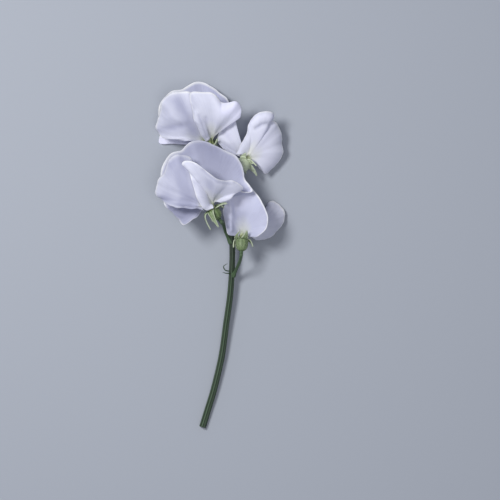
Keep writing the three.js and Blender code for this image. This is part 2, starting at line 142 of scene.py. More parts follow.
def ramp(tree, fac, stops):
    # colour ramp with its stops as (place, hex)
    made = node(tree, "ShaderNodeValToRGB", inputs={"Fac": fac})
    elements = made.color_ramp.elements
    while len(elements) < len(stops):
        elements.new(0.5)
    for element, (place, colour) in zip(elements, stops):
        element.position = place
        element.color = linear(colour)
    return made


def newMaterial(name):
    # empty node material and its tree
    material = bpy.data.materials.new(name)
    material.use_nodes = True
    material.node_tree.nodes.clear()
    return material, material.node_tree


petalLook = {
    # shade: tint of the tissue's own veins and cloud, and of the painted shade along folds
    "wing": {"claw": "#C6D19A", "cream": "#EFF0E4", "blade": "#E9EAF5", "shade": "#BBBDD3"},
    # standard: the wing look darkened and cooled, a painted-shade copy for standards that lie in
    # shade
    "standard": {"claw": "#C6D19A", "cream": "#E0E2DA", "blade": "#D4D6EA", "shade": "#ABADC4"},
    # rim: white of a painted highlight along the margin; clear: pale tint of the painted light
    # along folds
    "rim": "#FFFFFF", "clear": "#F1F1FF", "roughness": 0.55, "through": 0.34,
    "cloudMm": 9, "cloudShade": 0.25, "cellMm": 0.35, "veinShade": 0.16, "veinDent": 1.5,
}


def petalTissue(kind):
    # Sweet pea petal: a thin sheet of white cells, matt and a little velvety, that passes light.
    # Creamy green at its claw, faint veins in a fan, painted lavender shade in its folds and
    # hollows (painted light where a fold clears it) and a painted white highlight along its rim.
    # Places on the ramp are shares of the way from claw to margin. The cells are drawn coarser than
    # real.
    look = petalLook | petalLook[kind]
    material, tree = newMaterial(f"sweet_pea_{kind}_tissue")
    place = node(tree, "ShaderNodeTexCoord")
    reach = node(tree, "ShaderNodeAttribute", {"attribute_name": "reach"})
    vein = node(tree, "ShaderNodeAttribute", {"attribute_name": "vein"})
    hollow = node(tree, "ShaderNodeAttribute", {"attribute_name": "hollow"})
    # the last stop, white at the margin, is a painted highlight where the thin rim catches light
    body = ramp(tree, (reach, "Fac"), [
        (0, look["claw"]), (0.06, look["claw"]), (0.2, look["cream"]), (0.5, look["blade"]),
        (0.955, look["blade"]), (0.985, look["rim"]),
    ])
    cloud = node(tree, "ShaderNodeTexNoise", inputs={
        "Vector": (place, "Object"), "Scale": 1000 / look["cloudMm"], "Detail": 2.0,
    })
    dim = node(tree, "ShaderNodeMapRange", inputs={
        "Value": (cloud, "Fac"), "From Min": 0.3, "From Max": 0.7, "To Max": look["cloudShade"],
    })
    lined = node(tree, "ShaderNodeMath", {"operation": "MULTIPLY_ADD"}, {
        0: (vein, "Fac"), 1: look["veinShade"], 2: (dim, "Result"),
    })
    # veins and cloud are the tissue's own tone; the fold mark adds painted shade on top of them
    shaded = node(tree, "ShaderNodeMath", {"operation": "ADD", "use_clamp": True}, {
        0: (lined, "Value"), 1: (hollow, "Fac"),
    })
    tinted = node(tree, "ShaderNodeMix", {"data_type": "RGBA"}, {
        "Factor": (shaded, "Value"), "A": (body, "Color"), "B": linear(look["shade"]),
    })
    # painted light: where the fold mark is below 0, the tint is cleared to a pale, lit tone
    clear = node(tree, "ShaderNodeMath", {"operation": "MULTIPLY", "use_clamp": True}, {
        0: (hollow, "Fac"), 1: -1.0,
    })
    tinted = node(tree, "ShaderNodeMix", {"data_type": "RGBA"}, {
        "Factor": (clear, "Value"), "A": (tinted, 2), "B": linear(look["clear"]),
    })
    cells = node(tree, "ShaderNodeTexNoise", inputs={
        "Vector": (place, "Object"), "Scale": 1000 / look["cellMm"], "Detail": 1.0,
    })
    raised = node(tree, "ShaderNodeMath", {"operation": "MULTIPLY_ADD"}, {
        0: (vein, "Fac"), 1: -look["veinDent"], 2: (cells, "Fac"),
    })
    bump = node(tree, "ShaderNodeBump", inputs={
        "Height": (raised, "Value"), "Strength": 0.35, "Distance": 0.00006,
    })
    skin = node(tree, "ShaderNodeBsdfPrincipled", inputs={
        "Base Color": (tinted, 2), "Roughness": look["roughness"], "IOR": 1.42,
        "Sheen Weight": 0.12, "Sheen Roughness": 0.4, "Normal": (bump, "Normal"),
    })
    glow = node(tree, "ShaderNodeBsdfTranslucent", inputs={
        "Color": (tinted, 2), "Normal": (bump, "Normal"),
    })
    both = node(tree, "ShaderNodeMixShader", inputs={
        "Fac": look["through"], 1: (skin, "BSDF"), 2: (glow, "BSDF"),
    })
    node(tree, "ShaderNodeOutputMaterial", inputs={"Surface": (both, "Shader")})
    return material


greenLook = {
    "calyx": {
        "dark": "#40562B", "light": "#8DA46D", "edge": "#CFD9BC", "through": 0.15, "grainMm": 1.1,
    },
    "stem": {
        "dark": "#0F190F", "light": "#384E35", "edge": "#5C7550", "through": 0.0, "grainMm": 1.6,
    },
}


def greenTissue(name, look):
    # Green shoot: waxy skin over ribs, darker between them and paler along their crests and edges,
    # with a fine grain that stands for its cells.
    material, tree = newMaterial(name)
    place = node(tree, "ShaderNodeTexCoord")
    rib = node(tree, "ShaderNodeAttribute", {"attribute_name": "rib"})
    edge = node(tree, "ShaderNodeAttribute", {"attribute_name": "edge"})
    grain = node(tree, "ShaderNodeTexNoise", inputs={
        "Vector": (place, "Object"), "Scale": 1000 / look["grainMm"], "Detail": 3.0,
    })
    mixed = node(tree, "ShaderNodeMath", {"operation": "MULTIPLY_ADD"}, {
        0: (grain, "Fac"), 1: 0.5, 2: (rib, "Fac"),
    })
    body = ramp(tree, (mixed, "Value"), [(0.15, look["dark"]), (1.0, look["light"])])
    edged = node(tree, "ShaderNodeMix", {"data_type": "RGBA"}, {
        "Factor": (edge, "Fac"), "A": (body, "Color"), "B": linear(look["edge"]),
    })
    bump = node(tree, "ShaderNodeBump", inputs={
        "Height": (grain, "Fac"), "Strength": 0.3, "Distance": 0.0001,
    })
    skin = node(tree, "ShaderNodeBsdfPrincipled", inputs={
        "Base Color": (edged, 2), "Roughness": 0.5, "IOR": 1.45, "Normal": (bump, "Normal"),
    })
    shown = skin
    if look["through"]:
        glow = node(tree, "ShaderNodeBsdfTranslucent", inputs={"Color": (edged, 2)})
        shown = node(tree, "ShaderNodeMixShader", inputs={
            "Fac": look["through"], 1: (skin, "BSDF"), 2: (glow, "BSDF"),
        })
    node(tree, "ShaderNodeOutputMaterial", inputs={"Surface": (shown, 0)})
    return material


def plainTissue(name, colour, shade, grainMm, foot=None):
    # Fine matt tissue in one tint with soft mottling; a foot tint fades out along the mark "reach".
    material, tree = newMaterial(name)
    place = node(tree, "ShaderNodeTexCoord")
    grain = node(tree, "ShaderNodeTexNoise", inputs={
        "Vector": (place, "Object"), "Scale": 1000 / grainMm, "Detail": 2.0,
    })
    body = ramp(tree, (grain, "Fac"), [(0.3, shade), (0.7, colour)])
    tint = (body, "Color")
    if foot:
        reach = node(tree, "ShaderNodeAttribute", {"attribute_name": "reach"})
        fade = node(tree, "ShaderNodeMapRange", inputs={
            "Value": (reach, "Fac"), "From Min": 0.25, "From Max": 0.6,
            "To Min": 1.0, "To Max": 0.0,
        })
        footed = node(tree, "ShaderNodeMix", {"data_type": "RGBA"}, {
            "Factor": (fade, "Result"), "A": tint, "B": linear(foot),
        })
        tint = (footed, 2)
    bump = node(tree, "ShaderNodeBump", inputs={
        "Height": (grain, "Fac"), "Strength": 0.2, "Distance": 0.0001,
    })
    skin = node(tree, "ShaderNodeBsdfPrincipled", inputs={
        "Base Color": tint, "Roughness": 0.6, "IOR": 1.42, "Normal": (bump, "Normal"),
    })
    node(tree, "ShaderNodeOutputMaterial", inputs={"Surface": (skin, "BSDF")})
    return material


petalMaterials = {kind: petalTissue(kind) for kind in ("wing", "standard")}
calyxMaterial = greenTissue("sweet_pea_calyx_skin", greenLook["calyx"])
stemMaterial = greenTissue("sweet_pea_stem_skin", greenLook["stem"])
# the keel's foot tint is the claw's own green, deepened as painted shade where it sits in the
# funnel between the wings
keelMaterial = plainTissue("sweet_pea_keel_tissue", "#F2F3E2", "#E3E8C8", 2.0, "#8FA05C")
stamenMaterial = plainTissue("sweet_pea_stamen_tissue", "#E4E6B8", "#C9CF86", 0.6)
hairMaterial = plainTissue("sweet_pea_hair", "#DDE5CC", "#C5D1AC", 0.5)
print("materials made")


# Blossoms: middle of the calyx mouth, its axis, the side that the standard stands on, the line of
# its keel and the tips of its sepals. Directions are [right, away, up].

blossoms = {
    1: {
        "mouth": [210, 143.5, 17], "axis": [-0.36, 0.85, 0.38], "back": [-0.1, 0.9, -0.42],
        "keel": [[207.4, 130, 18], [206.4, 116, 19.5]],
        "sepals": [
            [202, 150, 9], [201, 150, 20], [211, 151, 25], [217, 138.5, 27], [214.5, 150, 8],
        ],
    },
    2: {
        "mouth": [245, 162.5, 24], "axis": [0.38, 0.62, -0.62], "back": [0.45, 0.88, 0.3],
        "keel": [[248.5, 152.5, 18.5], [251.5, 141, 16]],
        "sepals": [
            [256.5, 166, 31], [257, 175.5, 18], [246, 173, 12], [233, 160, 24], [245.5, 153, 34],
        ],
    },
    3: {
        "mouth": [212.5, 209.5, 56], "axis": [-0.55, 0.78, 0.18], "back": [0.05, 0.5, -0.85],
        "keel": [[206.9, 195, 53], [204.4, 181, 53.2]],
        "sepals": [
            [213, 222, 45], [211, 230, 52], [219, 227.5, 62], [227.5, 204, 74.5], [224, 208, 49],
        ],
    },
    4: {
        "mouth": [242, 240, 34], "axis": [0.05, 0.9, -0.3], "back": [-0.1, 0.95, 0.35],
        "keel": [[246, 226, 27], [252, 213, 20]],
        "sepals": [
            [247, 230.5, 47], [253, 247, 31], [241, 254, 26], [233.5, 247.5, 32], [240, 231, 47.5],
        ],
    },
}

cup = {"length": 6.2, "sepals": 5}  # of a calyx


def frameOf(k):
    # places and directions of blossom k in millimetres, made square to its axis
    b = blossoms[k]
    axis = unit(b["axis"])
    back = np.array(b["back"], float)
    back = unit(back - axis * back.dot(axis))
    mouth = layout(b["mouth"])
    return {
        **b, "axis": axis, "back": back, "side": np.cross(axis, back),
        "mouth": mouth, "base": mouth - axis * cup["length"],
    }


# All petals: their claw stands on a ring in the calyx, from inset mm below its mouth to outset mm
# above it, width mm wide. Each ray from claw to margin is a cubic curve that starts along the axis
# (push, first, near) and takes the swell of its petal, most in the middle (second, middle, sides).

petalForm = {
    "thickness": 0.34, "rows": 64, "perSpan": 9, "clawRows": 4,
    "radius": 1.8, "inset": 2.6, "outset": 1.4, "width": 1.8, "flare": 1.12, "push": 4,
    "first": 0.06, "second": 0.6, "near": 0.35, "middle": 1.3, "sides": 0.455,
    "foldsOver": 0.15, "frill": 0.16, "frillGrowth": 6, "frillWaves": (9, 5.5, 3.4),
}

# Each petal: blossom, angle of the claw round the calyx, how far the middle swells in steps, edge
# waves [height mm, growth, count, start] and the points of the margin, claw to claw.

petals = {
    "standard_1": {
        "blossom": 1, "at": 0, "swell": [0, 0, -8], "waves": [[0.7, 3, 6, 0.3]],
        "margin": [
            [203, 141.5, 14], [194, 143.5, 9], [185, 144, 6], [170, 143.5, 4], [159, 142, 3],
            [158.5, 137, 2.5], [160, 130, 2], [159, 122, 1], [157.8, 114, 1], [158, 106, 1],
            [160.2, 100, 1.5], [164, 95.5, 2], [171, 90, 3], [180, 88.5, 4], [186, 85, 5],
            [194, 80.7, 6], [202, 81.2, 7], [212, 86, 9], [220.5, 92, 12], [226.3, 97, 14],
            [228.5, 104, 15], [229, 112, 17], [226, 121, 18], [220, 130, 18],
        ],
    },
    "wing_left_1": {
        "blossom": 1, "at": 85, "swell": [-4, 0, 16], "waves": [[0.4, 3, 5, 0.3]],
        "margin": [
            [183, 140.5, 26], [168, 138.2, 24], [161.5, 136.5, 20], [156.5, 132.5, 18],
            [155.3, 126, 19], [157.5, 119, 23], [160.5, 108, 28], [163, 99, 32],
            [169, 93.7, 36], [178, 91.8, 38.5], [187, 91.6, 38], [193.5, 94.5, 35],
            [195.5, 102, 33],
        ],
    },
    "wing_right_1": {
        "blossom": 1, "at": -85, "swell": [4, 0, 14], "waves": [[0.4, 3, 5, 0.3]],
        "margin": [
            [205.5, 141.5, 21.5], [200.5, 133, 28], [196, 122, 35], [192, 112, 39.5],
            [189.3, 103, 42.5], [188.8, 95.5, 43], [192.5, 91.8, 44], [202, 92, 45.5],
            [210, 92.6, 45.5], [216, 96, 45.5], [221, 102, 44.5], [227.5, 103, 44],
            [235, 101.8, 43.5], [239.3, 104.5, 42], [241, 109, 40], [239.5, 114.5, 38],
            [236, 119.5, 36.5],
        ],
    },
    "standard_2": {
        "blossom": 2, "at": 0, "swell": [4, 2, 10], "waves": [[0.6, 3, 5, 0.3]],
        "margin": [
            [236, 154, 27.5], [238.5, 147.5, 28.5], [243.6, 139.7, 29.5], [248, 132, 30],
            [249.5, 124, 31.5], [252.3, 118, 33], [258.8, 113, 34], [266.4, 111.5, 33],
            [272.3, 113, 30], [273.4, 116, 26.5], [271.8, 120.2, 24], [275, 122.3, 21.5],
            [279.4, 128.3, 18], [282.6, 135.9, 16], [282.9, 143, 14], [282.5, 150, 12.5],
            [281, 156.5, 11], [277.2, 163.5, 10.5], [267, 173.8, 12], [261, 168.5, 15],
            [257, 164, 17], [252, 161, 20],
        ],
    },
    "wing_left_2": {
        "blossom": 2, "at": -85, "swell": [-2, 0, 0], "waves": [[0.3, 3, 4, 0.3]],
        "margin": [
            [226, 150.5, 21], [219, 143.6, 19], [217.4, 138, 19], [219.5, 131, 22],
            [224, 123, 27], [231, 118.5, 30], [235.5, 119.5, 30],
        ],
    },
    "wing_right_2": {
        "blossom": 2, "at": 85, "swell": [2, 0, -2], "waves": [[0.3, 3, 4, 0.3]],
        "margin": [
            [252, 146, 8], [256, 138, 5], [260, 130, 2], [265, 127, 0.4], [271, 132, 0.4],
            [270, 143, 1], [263, 151, 5],
        ],
    },
    "standard_3": {
        "blossom": 3, "at": 0, "swell": [0, 0, -10], "waves": [[0.8, 3, 6, 0.3]],
        "margin": [
            [204, 207, 52], [199.5, 211, 50], [195, 218, 49], [184, 226, 50], [178, 219, 46],
            [172, 211, 41], [165, 205, 36], [162, 196, 31], [161, 185, 29], [160.5, 172, 29],
            [164, 162, 31], [171, 153, 33], [181, 150, 36], [185, 146, 37], [191, 142, 39],
            [200, 141, 42], [212, 144, 45], [224, 149.5, 47], [235, 155.5, 48],
            [240.5, 164, 49], [243.7, 173, 50], [246, 180, 50], [250, 185.5, 50],
            [252, 190.5, 50], [245, 191, 52], [236, 192.5, 54], [228.5, 197, 56],
            [221, 201, 57],
        ],
    },
    "wing_left_3": {
        "blossom": 3, "at": 85, "swell": [-6, 0, 14], "waves": [[0.4, 3, 5, 0.3]],
        "margin": [
            [204, 211.5, 60], [192.5, 208.8, 64], [176, 207.2, 61], [165, 203.2, 54],
            [159, 198.3, 48], [156, 192.3, 46], [156, 186, 47], [158, 181, 48], [163, 175, 52],
            [165.3, 168.6, 54], [168.8, 160.7, 55], [175.7, 155.3, 57], [182.6, 154.8, 57],
            [190, 158, 54], [195, 167, 50],
        ],
    },
    "wing_right_3": {
        "blossom": 3, "at": -85, "swell": [3, 2, 8], "waves": [[0.4, 3, 5, 0.3]],
        "margin": [
            [213.5, 208.8, 65.5], [206, 210.3, 65], [198.5, 200, 67.5], [194.5, 188, 68],
            [190.5, 176, 69], [186, 168.5, 70.5], [182.8, 164.5, 72], [185.6, 161.5, 74],
            [193.5, 162.7, 77], [202.4, 168.6, 80], [211.3, 175.5, 80], [217.2, 179.5, 78],
            [225, 181, 74], [232, 181, 69], [238.5, 184, 64], [243, 188.5, 60], [240, 192, 60],
            [235, 194.3, 61.5], [229, 199.3, 62], [221.5, 203.3, 61],
        ],
    },
    "standard_4": {
        "blossom": 4, "at": 0, "swell": [0, 2, 2], "waves": [[0.6, 3, 5, 0.3]],
        "margin": [
            [239, 236, 37], [233, 236, 37], [228, 234, 37.5], [226, 227, 38], [224, 218, 39],
            [223, 211, 40], [225.5, 203, 42], [229, 195, 43], [235, 190, 43], [243, 187, 42],
            [250, 187, 42], [256, 193, 42], [261, 200, 43], [265.5, 209, 44], [268, 218, 45],
            [266, 229, 44], [258, 236, 42], [250.5, 237, 39],
        ],
    },
    "wing_left_4": {
        "blossom": 4, "at": -85, "swell": [-2, 0, -3], "waves": [[0.3, 3, 4, 0.3]],
        "margin": [
            [236, 222, 19], [236, 212, 13], [240, 202, 8], [246, 197, 6], [250, 203, 8],
            [248.5, 212, 11], [246, 222, 15],
        ],
    },
    "wing_right_4": {
        "blossom": 4, "at": 85, "swell": [3, 0, 3], "waves": [[0.3, 3, 4, 0.3]],
        "margin": [
            [253, 231, 19], [259, 222, 11], [263, 212, 6], [267, 204, 3], [274, 201, 2.5],
            [282, 206, 3], [285, 215, 5], [281, 227, 9], [270, 237, 16], [256, 240, 24],
        ],
    },
}

paintedShadePetals = ["standard_1", "standard_3", "standard_4"]  # standards lying in shade, given the darker painted-shade copy of the tissue

# Soft folds of a petal: height mm, width mm, how far painted shade darkens it (below 0: painted
# light clears it to a pale tint) and its line in layout steps.

folds = {
    "standard_1": [
        [-0.3, 3.0, 0.0, [[172, 90], [190, 88], [206, 89], [222, 97]]],
        [0, 2.5, -1.4, [[160, 140], [186, 141.5]]],
    ],
    "wing_left_1": [
        [-1.1, 4.0, 0.75, [[179, 100], [183, 110], [189, 122], [196, 134]]],
        [-0.8, 2.4, 0.5, [[157, 131], [166, 128.5], [180, 127]]],
        [0.5, 2.2, 0.0, [[160, 119], [172, 117], [184, 121]]],
        [0, 5.0, 0.3, [[170, 104], [168, 113], [172, 124]]],
        [0.9, 3.5, -0.1, [[189, 93], [190.5, 101], [192, 110]]],
    ],
    "wing_right_1": [
        [0.4, 1.0, 0.0, [[193.5, 112], [199, 126], [204, 138]]],
        [-0.4, 0.9, 0.35, [[199, 116], [203, 126], [207, 137]]],
        [-0.35, 0.9, 0.25, [[206, 118], [208, 127], [210, 135]]],
        [0.6, 4.2, -1.3, [[226, 110], [236, 107], [236, 114]]],
        [-0.9, 3.0, 0.1, [[189, 93], [190, 101], [192, 110]]],
    ],
    "standard_2": [
        [0.35, 2.2, -0.4, [[252, 154], [258, 146], [264, 136], [268, 127]]],
        [0, 6.5, -0.5, [[267, 138], [269, 150], [269, 164]]],
        [1.0, 2.2, -0.5, [[252, 123], [258, 117.5], [266, 115.5], [272, 117]]],
        [-0.7, 1.2, 0.5, [[256, 128], [262, 124.5], [267, 123.5]]],
    ],
    "wing_left_2": [
        [0, 3.0, 0.45, [[224, 144], [236, 150]]],
        [0, 4.0, -0.7, [[225, 128], [228, 136]]],
    ],
    "standard_3": [
        [-0.8, 6.0, 0.6, [[202, 150], [209, 162], [216, 174]]],
        [0, 8.0, 0.6, [[194, 147], [216, 155], [236, 171]]],
        [0, 5.0, -0.25, [[190, 144], [197, 152]]],
        [0, 4.0, 1.0, [[172, 211], [184, 215], [196, 212]]],
        [0, 2.5, -0.4, [[245, 183], [249, 189]]],
    ],
    "wing_left_3": [
        [-1.4, 5.5, 1.0, [[182, 174], [184, 186], [192, 201]]],
        [-0.6, 2.4, 0.6, [[162, 199], [176, 202.5], [192, 204]]],
        [-0.3, 3.0, 0.8, [[172, 164], [182, 160]]],
        [0, 5.0, 0.4, [[168, 176], [167, 192]]],
    ],
    "wing_right_3": [
        [0.6, 1.8, 0.15, [[196, 182], [199, 195], [204, 207]]],
        [-0.5, 3.5, 0.4, [[210, 184], [212, 192], [213, 202]]],
        [-0.4, 1.0, 0.35, [[203, 171], [209, 177], [218, 183], [230, 185]]],
        [0, 4.0, -0.2, [[222, 187], [230, 190]]],
    ],
    "standard_4": [
        [0.9, 1.2, 0.0, [[235.5, 190], [230, 199], [231, 212], [231, 230]]],
        [-0.8, 2.2, 0, [[236, 200], [237, 214], [238, 230]]],
        [0, 4.0, -0.6, [[234, 201], [242, 200]]],
        [0, 5.0, -0.4, [[228, 205], [229, 215]]],
        [0, 4.5, 0.4, [[237, 222], [237, 234]]],
    ],
}


# Veins: spacing along the margin, height, and the shares of the petal over which they begin, fork
# and fade; sway holds height, turns across and turns outwards.

veinForm = {
    "spacing": 1.9, "fewest": 4, "height": 0.025, "beginOver": 0.2,
    "forkFrom": 0.35, "forkOver": 0.35, "fadeFrom": 0.9, "fadeOver": 0.1,
    "sharpness": 3, "forkLoss": 0.5, "forkHeight": 0.6, "sway": [(0.35, 30.6, 4), (0.25, 17, 9)],
}


def veinsOf(v, t, span):
    # thin ridges in a fan; their number doubles half-way out, so that each one forks
    form = veinForm
    count = np.maximum(span / form["spacing"], form["fewest"])
    sway = sum(high * np.sin(across * v + outwards * t) for high, across, outwards in form["sway"])
    few = (1 - np.abs(np.sin(np.pi * count * v + sway))) ** form["sharpness"]
    many = (1 - np.abs(np.sin(2 * np.pi * count * v + 2 * sway))) ** form["sharpness"]
    share = smooth((t - form["forkFrom"]) / form["forkOver"])
    ridge = few * (1 - form["forkLoss"] * share) + many * share * form["forkHeight"]
    fade = smooth((t - form["fadeFrom"]) / form["fadeOver"])
    return ridge * smooth(t / form["beginOver"]) * (1 - fade)


def petalGrid(spec):
    # rays leave the claw along the blossom's axis and bend to the margin as cubic curves;
    # t runs from claw to margin and v along the margin
    form = petalForm
    f = frameOf(spec["blossom"])
    margin = layout(spec["margin"])
    cols = (len(margin) - 1) * form["perSpan"] + 1
    v = np.linspace(0, 1, cols)
    at = np.radians(spec["at"])
    radial = f["back"] * np.cos(at) + f["side"] * np.sin(at)
    tangent = -f["back"] * np.sin(at) + f["side"] * np.cos(at)
    turn = 1 if (margin[-1] - margin[0]).dot(tangent) > 0 else -1
    swell = np.array(spec["swell"]) * step
    edge = along(margin, v)
    a = (turn * (v - 0.5) * form["width"] / form["radius"])[:, None]
    ring = radial * np.cos(a) + tangent * np.sin(a)
    foot = f["mouth"] - f["axis"] * form["inset"] + ring * form["radius"]
    neck = f["mouth"] + f["axis"] * form["outset"] + ring * form["radius"] * form["flare"]
    reach = edge - neck
    lift = form["sides"] + (form["middle"] - form["sides"]) * np.sin(np.pi * v)[:, None]
    first = neck + f["axis"] * form["push"] + reach * form["first"] + swell * lift * form["near"]
    second = neck + reach * form["second"] + swell * lift
    c = np.linspace(0, 1, form["clawRows"], endpoint=False)[:, None, None]
    t = np.linspace(0, 1, form["rows"])[:, None, None]
    claw = foot * (1 - c) + neck * c
    blade = (
        neck * (1 - t) ** 3 + first * 3 * (1 - t) ** 2 * t
        + second * 3 * (1 - t) * t**2 + edge * t**3
    )
    grid = np.concatenate([claw, blade])
    t = np.concatenate([np.zeros(form["clawRows"]), t.ravel()])[:, None] + 0 * v
    v = v + 0 * t
    normals = gridNormals(grid)
    offset = np.zeros(t.shape)
    for height, growth, count, start in spec["waves"]:
        offset += height * t**growth * np.sin(2 * np.pi * count * v + start)
    return grid + normals * offset[..., None], t, v


def upward(grid):
    # normals of the side that mostly faces up
    n = gridNormals(grid)
    return n * np.sign(n[..., 2].sum())


def lineDistance(grid, line):
    # distance in mm from each point to a line of layout points, seen from above
    p = layout(np.array([[*q, 0] for q in line]))[:, :2]
    best = np.full(grid.shape[:2], np.inf)
    for a, b in zip(p[:-1], p[1:]):
        d = b - a
        s = np.clip(((grid[..., :2] - a) @ d) / d.dot(d), 0, 1)
        best = np.minimum(best, np.linalg.norm(grid[..., :2] - a - s[..., None] * d, axis=-1))
    return best


def addPetal(name, spec):
    # the sheet moved along its upward normals by its folds, each a bell over the distance from
    # its line, by the frill, sines that grow as a power of t, and by the veins; it stays above the
    # surface
    form = petalForm
    grid, t, v = petalGrid(spec)
    edge = np.append(0, np.cumsum(np.linalg.norm(np.diff(grid[-1], axis=0), axis=-1)))
    span = edge[-1]
    rng = np.random.default_rng(sum(map(ord, name)))
    ups = upward(grid)
    offset = np.zeros(t.shape)
    hollow = np.zeros(t.shape)
    # each fold also paints shade along its line; a shade below 0 paints light instead
    for height, width, shade, line in folds.get(name, []):
        near = np.exp(-(lineDistance(grid, line) / width) ** 2) * smooth(t / form["foldsOver"])
        offset += height * near
        hollow += shade * near
    frill = sum(
        np.sin(2 * np.pi * edge / wave + rng.uniform(0, 6.3)) / (1 + i)
        for i, wave in enumerate(form["frillWaves"])
    )
    offset += form["frill"] * frill * t ** form["frillGrowth"]
    vein = veinsOf(v, t, span)
    offset += veinForm["height"] * vein
    grid = grid + ups * offset[..., None]
    grid[..., 2] = np.maximum(grid[..., 2], form["thickness"] / 2)
    # petals in shade take the darker painted-shade copy of the tissue
    tissue = petalMaterials["standard" if name in paintedShadePetals else "wing"]
    marks = {"reach": t, "vein": vein, "hollow": np.clip(hollow, -1, 1)}
    addPiece(
        name + "_petal", grid.reshape(-1, 3), gridFaces(*t.shape), tissue, marks,
        form["thickness"], [name],
    )


for name, spec in petals.items():
    addPetal(name, spec)
print("petals made")


# Calyx: a ribbed cup that splits into five pointed sepals, bent back over the outside

calyxForm = {
    "profile": [[0.3, 0], [1.4, 0.25], [2.6, 1.4], [3.15, 3.2], [3.25, 6.2]],  # radius, height
    "thickness": 0.45, "weld": 0.02, "rows": 20, "perSepal": 16, "sepalRows": 34,
    "ribs": 10, "ribHeight": 0.04, "ribsOver": 0.4, "ribMark": 0.28, "footMark": 0.2,
    "bend": 0.35, "outwards": 0.9, "forwards": 0.3, "leaveOver": 0.2, "foldDepth": 0.35,
    "slim": 0.62, "narrows": 0.95, "point": 2.4,
    "midribHeight": 0.12, "midribWidth": 0.16, "midribFade": 0.6, "midribOver": 0.15,
    "bladeMark": 0.15, "midribMark": 0.55, "edgeFrom": 0.62, "edgeOver": 0.3, "tipMark": 0.5,
    # paleness lifts each blossom's whole calyx towards the pale edge tint: partly its own tone,
    # partly painted light on calyx 2, which lies in shade under standard_3
    "paleness": {1: 0.55, 2: 0.85, 3: 0.05, 4: 0.1}, "cupHairs": 420, "sepalHairs": 110,
}


def sepalPath(f, s, t):
    # quadratic curve along a sepal's middle: outwards from the rim, then bent to its tip
    a = (s + 0.5) * 2 * np.pi / cup["sepals"]
    radial = f["back"] * np.cos(a) + f["side"] * np.sin(a)
    rim = f["mouth"] + radial * calyxForm["profile"][-1][0]
    end = layout(f["sepals"][s])
    leave = calyxForm["bend"] * np.linalg.norm(end - rim)
    bend = rim + leave * (calyxForm["outwards"] * radial + calyxForm["forwards"] * f["axis"])
    across = -f["back"] * np.sin(a) + f["side"] * np.cos(a)
    return (1 - t) ** 2 * rim + 2 * t * (1 - t) * bend + t**2 * end, radial, across


def cupWall(f):
    # ribbed wall of the cup, the way outwards at each of its points and how far each is a crest
    form = calyxForm
    cols = cup["sepals"] * form["perSepal"]
    a = np.arange(cols) / cols * 2 * np.pi
    u = np.linspace(0, 1, form["rows"])
    profile = along(form["profile"], u)
    rib = 0.5 + 0.5 * np.cos(form["ribs"] * a)
    r = profile[:, :1] + form["ribHeight"] * rib * smooth(u / form["ribsOver"])[:, None]
    spokes = f["back"] * np.cos(a)[:, None] + f["side"] * np.sin(a)[:, None]
    wall = f["base"] + f["axis"] * profile[:, 1:, None] + r[..., None] * spokes
    return wall, spokes[None] + 0 * wall, form["ribMark"] * rib + 0 * r


def sepalBlade(f, s, rim):
    # sepal s from its stretch of the rim to its point, folded along a raised midrib; gives its
    # grid, the ways outwards and how far each point is a crest or a pale edge
    form = calyxForm
    x = np.linspace(-1, 1, form["perSepal"] + 1)
    t = np.linspace(0, 1, form["sepalRows"])[:, None]
    path, radial, across = sepalPath(f, s, t)
    width = np.linalg.norm(rim[-1] - rim[0]) / 2
    taper = form["slim"] + (1 - form["slim"]) * (1 - smooth(t / form["narrows"]))
    taper = taper * np.sqrt(np.clip(1 - t ** form["point"], 0, 1))
    out = unit(np.cross(unit(np.gradient(path, axis=0)), across))
    out = out * np.sign((out * radial).sum(-1))[:, None]
    fold = form["foldDepth"] * (1 - x**2) * taper * (1 - np.abs(2 * t - 1) ** 3)
    blade = path[:, None] + across * (x * taper * width)[..., None] + out[:, None] * fold[..., None]
    left = smooth(t / form["leaveOver"])[..., None]
    blade = blade * left + (rim + (path - path[0])[:, None]) * (1 - left)
    midrib = np.exp(-(x / form["midribWidth"]) ** 2) * (1 - form["midribFade"] * t)
    raised = form["midribHeight"] * midrib * smooth(t / form["midribOver"])
    blade = blade + out[:, None] * raised[..., None]
    edge = smooth((np.abs(x) - form["edgeFrom"]) / (1 - form["edgeFrom"]))
    pale = edge * smooth(t / form["edgeOver"]) + form["tipMark"] * t**3
    return blade, out[:, None] + 0 * blade, form["bladeMark"] + form["midribMark"] * midrib, pale


# Down: short pale hairs, each a slender three-sided spike that leans towards the blossom

downForm = {
    "length": (0.3, 0.65), "radius": 0.028, "lean": 0.6, "scatter": 0.35, "aslant": (0.3, 0.5, 0.8),
}


def addDown(name, grids, lift, seed):
    # each grid of skin comes with its ways outwards and its number of hairs
    form = downForm
    rng = np.random.default_rng(seed)
    roots, ways = [], []
    for grid, out, count in grids:
        rows, cols = grid.shape[:2]
        i = rng.uniform(0, rows - 1.001, count)  # just inside the last cell
        j = rng.uniform(0, cols - 1.001, count)
        low, left = i.astype(int), j.astype(int)
        u, v = (i - low)[:, None], (j - left)[:, None]
        near = grid[low, left] * (1 - v) + grid[low, left + 1] * v
        far = grid[low + 1, left] * (1 - v) + grid[low + 1, left + 1] * v
        roots.append(near * (1 - u) + far * u + out[low, left] * lift)
        onward = unit(grid[low + 1, left] - grid[low, left])
        stray = rng.normal(0, form["scatter"], (count, 3))
        ways.append(unit(out[low, left] + form["lean"] * onward + stray))
    root, way = np.vstack(roots), np.vstack(ways)
    side = unit(np.cross(way, form["aslant"]))
    over = np.cross(way, side)
    length = rng.uniform(*form["length"], len(root))[:, None]
    corners = [
        root + form["radius"] * (side * np.cos(a) + over * np.sin(a))
        for a in np.radians((0, 120, 240))
    ]
    points = np.stack([*corners, root + way * length], axis=1).reshape(-1, 3)
    spike = np.array([(0, 1, 3), (1, 2, 3), (2, 0, 3)])
    faces = (4 * np.arange(len(root))[:, None, None] + spike).reshape(-1, 3)
    addPiece(name, points, faces, hairMaterial)


